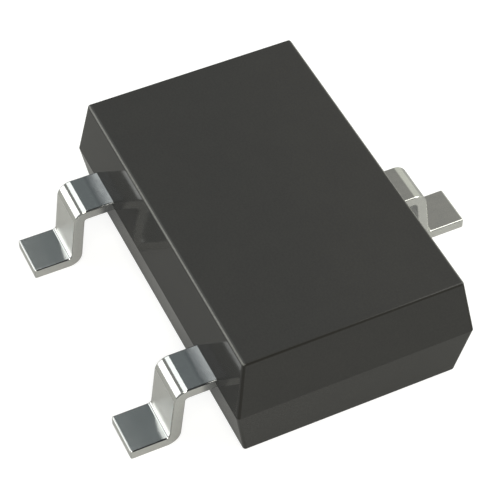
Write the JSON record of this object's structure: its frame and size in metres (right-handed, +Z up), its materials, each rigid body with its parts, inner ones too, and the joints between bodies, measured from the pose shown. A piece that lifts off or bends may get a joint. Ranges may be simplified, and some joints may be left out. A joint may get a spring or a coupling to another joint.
{
  "type": "sot-23 transistor",
  "caption": "Small surface-mount transistor: a drafted dark moulded body on a bonded leadframe, with gull-wing leads.",
  "frame": {"origin": "on the seating plane, under the middle of the moulded body", "axes": "+X along the body, from the base lead towards the emitter lead; +Y from those two leads towards the collector lead; +Z up, from the seating plane to the top face"},
  "size_m": [0.003, 0.0032, 0.001],
  "materials": {
    "moulding_compound": "satin, fine-grained",
    "tinned_leadframe": "bright tin plate",
    "silver_adhesive": "matte, silver filled",
    "silicon": "polished",
    "gold_wire": "drawn gold"
  },
  "bodies": {
    "root": {"mould_body": "moulding_compound", "base_lead": "tinned_leadframe", "emitter_lead": "tinned_leadframe", "collector_lead": "tinned_leadframe", "die_attach": "silver_adhesive", "silicon_die": "silicon", "base_wire": "gold_wire", "emitter_wire": "gold_wire"}
  },
  "joints": []
}
